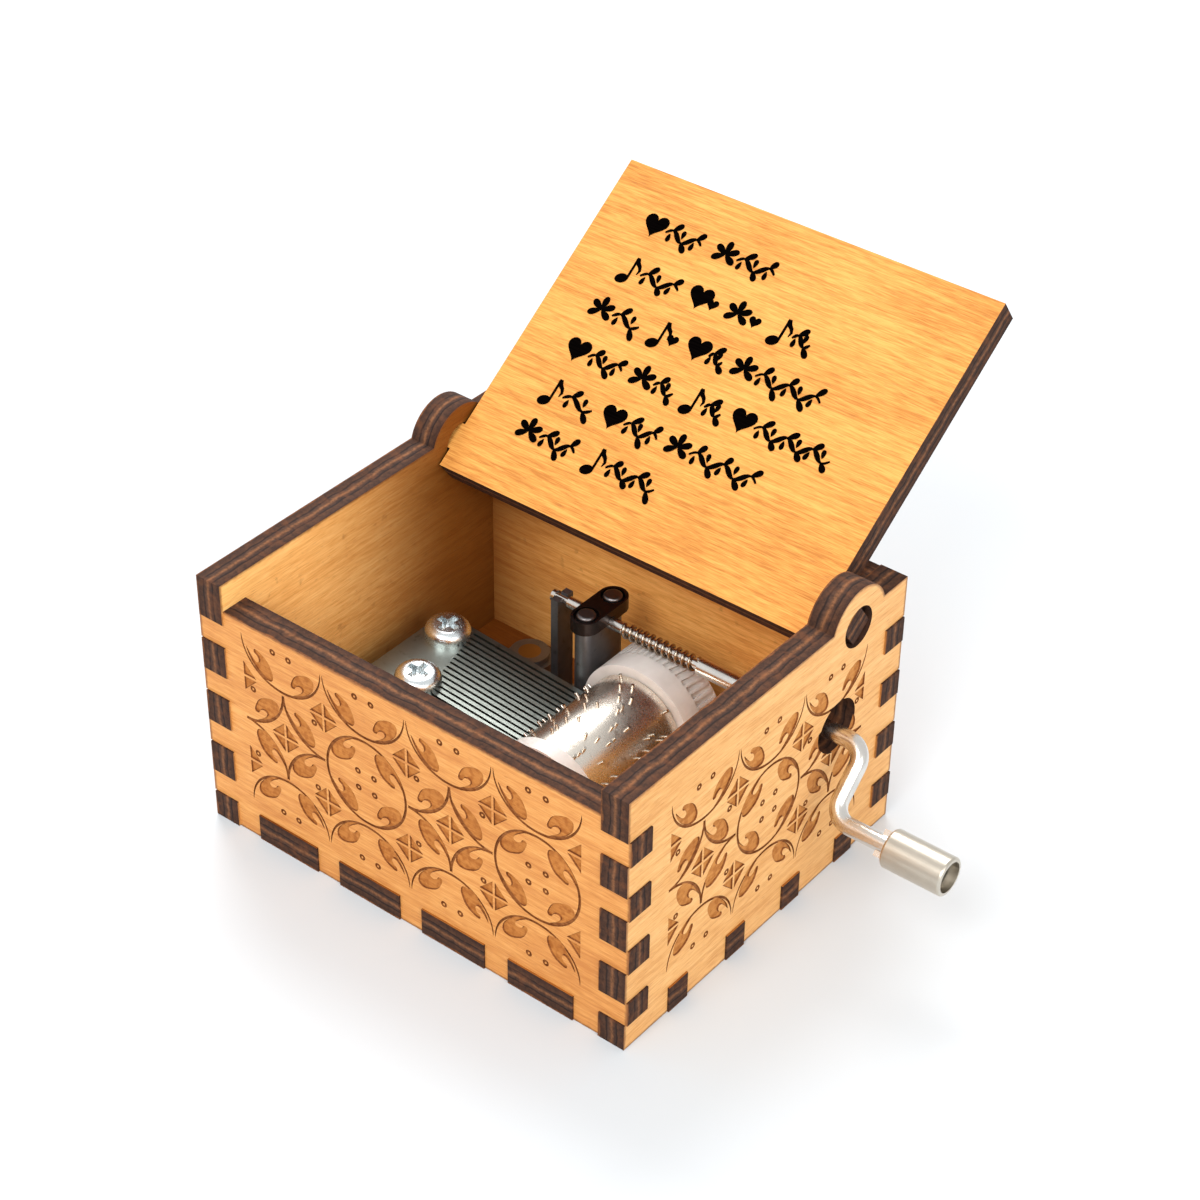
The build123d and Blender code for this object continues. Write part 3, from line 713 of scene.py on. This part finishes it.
def engraved_wall(node, panel, axis, place):
    """A copy of a CAD wall with a panel cut into its outer face, which faces along axis.

    place gives the point of that face at u along the wall, v up it and h out of it.
    """
    mesh = nodes[node].data.copy()
    bm = bmesh.new()
    bm.from_mesh(mesh)
    bmesh.ops.remove_doubles(bm, verts=bm.verts, dist=WELD * MM)
    bmesh.ops.dissolve_degenerate(bm, dist=SPECK * MM, edges=bm.edges)
    bm.to_mesh(mesh)
    bm.free()
    # The normals stored with the CAD mesh don't fit the faces that the cuts make.
    if "custom_normal" in mesh.attributes:
        mesh.attributes.remove(mesh.attributes["custom_normal"])
    piece = new_object(node + "_engraved", mesh)
    paint(piece, wood[node], pocket_wood[node], burnt_wood[node])
    mesh.polygons.foreach_set("material_index", [FACE_SLOT] * len(mesh.polygons))
    pockets, strokes = lattice(*panel)
    subtract(piece, cutter_mesh(node + "_pockets", pockets, place, POCKET_DEPTH, POCKET_RIM))
    subtract(piece, cutter_mesh(node + "_strokes", strokes, place, STROKE_DEPTH))
    normals = [abs(polygon.normal[axis]) for polygon in piece.data.polygons]
    piece.data.polygons.foreach_set("use_smooth", [normal < FLAT for normal in normals])
    piece.data.set_sharp_from_angle(angle=SHARP_ANGLE)
    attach(piece, "case")
    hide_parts(node)


# A panel is its cells, their pitch and the height of its middle.
LONG_PANEL = (("diamond", "ring", "diamond", "ring"), 12.8, 18.5)
SHORT_PANEL = (("diamond", "ring", "diamond"), 12.5, 18.8)
engraved_wall("front_wall", LONG_PANEL, Y,
              lambda u, v, h: (u * MM, (-HALF_Y - h) * MM, v * MM))
engraved_wall("rear_wall", LONG_PANEL, Y,
              lambda u, v, h: (-u * MM, (HALF_Y + h) * MM, v * MM))
engraved_wall("right_wall", SHORT_PANEL, X,
              lambda u, v, h: ((HALF_X + h) * MM, u * MM, v * MM))
engraved_wall("left_wall", SHORT_PANEL, X,
              lambda u, v, h: ((-HALF_X - h) * MM, -u * MM, v * MM))


# ----------------------------------------------------- ornament inside the lid

INK_THICK = 0.04
INK_STEP = 0.004  # between overlapping shapes, so that their tops don't coincide
INK_STEPS = 5
INK_SINK = 0.02
HEART = 3.5
SMALL_HEART = 1.7
PETAL_LENGTH, PETAL_WIDTH = 1.9, 1.15
MOTIF = 3.1  # the length that a group's first motif takes
SHORT_GROUP = 5  # a group up to this length has no vine
VINE_WAVE = 1.9  # length of one crest
VINE_SWING = 0.60
VINE_THIN = 0.24
VINE_SWELL = 0.46


def lid_point(x, reach, height):
    """A point over the lid's inner face: reach from the pivot line, height off the face."""
    out = Vector((0, -math.cos(LID_OPEN), math.sin(LID_OPEN)))
    up = Vector((0, -math.sin(LID_OPEN), -math.cos(LID_OPEN)))
    foot = Vector((x, PIVOT_Y, PIVOT_Z)) + out * reach + up * (PLY / 2 + height)
    return foot * MM


def stroke(points, widths):
    """A closed outline round a line of points with a width at each."""
    left, right = [], []
    for i, (x, y) in enumerate(points):
        ax, ay = points[max(i - 1, 0)]
        bx, by = points[min(i + 1, len(points) - 1)]
        n = Vector((ay - by, bx - ax)).normalized() * widths[i] / 2
        left.append((x + n.x, y + n.y))
        right.append((x - n.x, y - n.y))
    return left + right[::-1]


def heart(cx, cy, size):
    points = []
    for i in range(32):
        t = 2 * math.pi * i / 32
        x = 16 * math.sin(t) ** 3
        y = 13 * math.cos(t) - 5 * math.cos(2 * t) - 2 * math.cos(3 * t) - math.cos(4 * t)
        points.append((cx + x * size / 32, cy + (y + 2) * size / 32))
    return points


def teardrop(cx, cy, length, width, angle):
    """A leaf with its stalk at (cx, cy), pointing along angle in degrees."""
    points = []
    for i in range(18):
        t = 2 * math.pi * i / 18
        points.append((length * (1 - math.cos(t)) / 2,
                       width / 2 * math.sin(t) * math.sin(t / 2) ** 0.8))
    return turned(points, cx, cy, angle)


def quaver(cx, cy):
    """A single music note, about 4 mm tall."""
    head = turned(arc(0, 0, 0.92, 0.66, 0, 360, 18)[:-1], cx, cy, 22)
    stem = stroke([(cx + 0.72, cy + 0.1), (cx + 0.72, cy + 3.3)], [0.34, 0.34])
    flag_line = [(cx + 0.75, cy + 3.2), (cx + 1.05, cy + 2.6), (cx + 1.55, cy + 2.2),
                 (cx + 1.8, cy + 1.7), (cx + 1.65, cy + 1.1)]
    return [head, stem, stroke(flag_line, [0.6, 0.62, 0.5, 0.38, 0.1])]


def vine(start, end, cy, rng):
    """A waving stem with leaves at its crests, between two places on a row."""
    shapes, points, widths = [], [], []
    length = end - start
    waves = max(2, round(length / VINE_WAVE))
    steps = waves * 8
    for i in range(steps + 1):
        t = i / steps
        phase = math.pi * waves * t
        points.append((start + length * t, cy + VINE_SWING * math.sin(phase)))
        widths.append(VINE_THIN + VINE_SWELL * abs(math.cos(phase)) * min(1, 6 * t, 6 - 6 * t))
    shapes.append(stroke(points, widths))
    for k in range(waves):
        t = (k + 0.5) / waves
        side = 1 if k % 2 == 0 else -1
        x = start + length * t
        size = rng.uniform(1.45, 1.95)
        shapes.append(teardrop(x - 0.1, cy + side * 0.5, size, 1.05, side * rng.uniform(38, 58)))
        shapes.append(teardrop(x - 0.2, cy + side * 0.1, 1.2, 0.8, side * rng.uniform(-105, -85)))
    return shapes


ROWS = (  # reach of each row from the pivot line, and where its groups start and end
    (34.9, ((-20.8, -12.2), (-9.8, -1.0))),
    (28.4, ((-20.6, -11.6), (-9.6, -5.4), (-3.8, 1.0), (2.6, 8.4))),
    (22.2, ((-21.0, -13.6), (-11.8, -7.6), (-6.0, -0.8), (1.0, 13.6))),
    (16.1, ((-20.8, -12.4), (-10.6, -4.4), (-2.8, 2.8), (4.6, 18.8))),
    (10.0, ((-20.8, -13.0), (-11.2, -3.0), (-1.2, 11.8))),
    (4.2, ((-20.6, -12.0), (-10.2, 0.4))),
)


def lid_ornament():
    """Rows of small notes, hearts and leafy stems, printed inside the lid."""
    rng = random.Random(11)
    shapes = []
    for row, (reach, groups) in enumerate(ROWS):
        for column, (start, end) in enumerate(groups):
            kind = (row + column * 2) % 3
            if kind == 0:
                shapes.append(heart(start + 1.3, reach + 0.3, HEART))
            elif kind == 1:
                shapes.extend(quaver(start + 0.9, reach - 1.2))
            else:
                for angle in (90, 150, 30, 210, 330):
                    shapes.append(teardrop(start + 1.3, reach + 0.2, PETAL_LENGTH, PETAL_WIDTH,
                                           angle))
            if end - start > SHORT_GROUP:
                shapes.extend(vine(start + MOTIF, end, reach, rng))
            else:
                shapes.append(heart(end - 0.9, reach, SMALL_HEART))
    bm = bmesh.new()
    for order, loop in enumerate(shapes):
        low = add_loops(bm, [loop], lid_point, -INK_SINK)
        high = add_loops(bm, [loop], lid_point, INK_THICK + INK_STEP * (order % INK_STEPS))
        add_bands(bm, low, high, 0)
        add_flat(bm, [loop], low, 0)
        add_flat(bm, [loop], high, 0)
    piece = new_object("lid_ornament", finished_mesh(bm, "lid_ornament"))
    paint(piece, ink("lid_ink"))
    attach(piece, "lid")


lid_ornament()


# ------------------------------------------------------------- stage, lights, camera

FLOOR_HALF = 3.0
FLOOR_GAP = 0.05 * MM  # under the case, so that no two faces coincide
LOOK_AT = Vector((0, 0, 0.02))
LIGHTS = (  # name, place, size in metres and power in watts
    ("key", (-0.55, 0.55, 0.85), 0.70, 11.0),
    ("fill", (0.80, -0.35, 0.50), 0.60, 5.0),
    ("front", (0.10, -0.65, 0.70), 0.50, 5.5),
)
WORLD_STRENGTH = 0.85

# The camera as a fit to the case's corners and finger joints puts it.
CAMERA_PLACE = (0.16829, -0.20496, 0.23023)
CAMERA_DEGREES = (53.361, -0.656, 38.677)
CAMERA_LENS = 84.73


def stage_floor():
    bm = bmesh.new()
    bmesh.ops.create_grid(bm, x_segments=8, y_segments=8, size=FLOOR_HALF)
    floor = new_object("floor", finished_mesh(bm, "floor"))
    floor.location.z = -FLOOR_GAP
    g = Graph("floor_paper", Metallic=0.0, Roughness=0.9, Specular_IOR_Level=0.1)
    cloud = g.noise(g.point(), 0.004, 2)
    g.set("Base Color", g.ramp(cloud, ((0.3, srgb(199, 203, 206)), (0.7, srgb(202, 206, 209)))))
    paint(floor, g.material)


def area_light(name, place, size, power):
    light = bpy.data.lights.new(name, "AREA")
    light.shape = "DISK"
    light.size = size
    light.energy = power
    lamp = new_object(name, light)
    lamp.location = place
    lamp.rotation_euler = (LOOK_AT - Vector(place)).to_track_quat("-Z", "Y").to_euler()


stage_floor()
for light_settings in LIGHTS:
    area_light(*light_settings)

world = bpy.data.worlds.new("studio")
world.use_nodes = True
background = world.node_tree.nodes["Background"]
background.inputs["Color"].default_value = (1, 1, 1, 1)
background.inputs["Strength"].default_value = WORLD_STRENGTH
scene.world = world
scene.view_settings.view_transform = "Standard"

lens = bpy.data.cameras.new("camera")
lens.lens = CAMERA_LENS
lens.sensor_width = 36.0
lens.clip_start = 0.01
lens.clip_end = 20.0
camera = new_object("camera", lens)
camera.location = CAMERA_PLACE
camera.rotation_euler = Euler([math.radians(angle) for angle in CAMERA_DEGREES])
scene.camera = camera
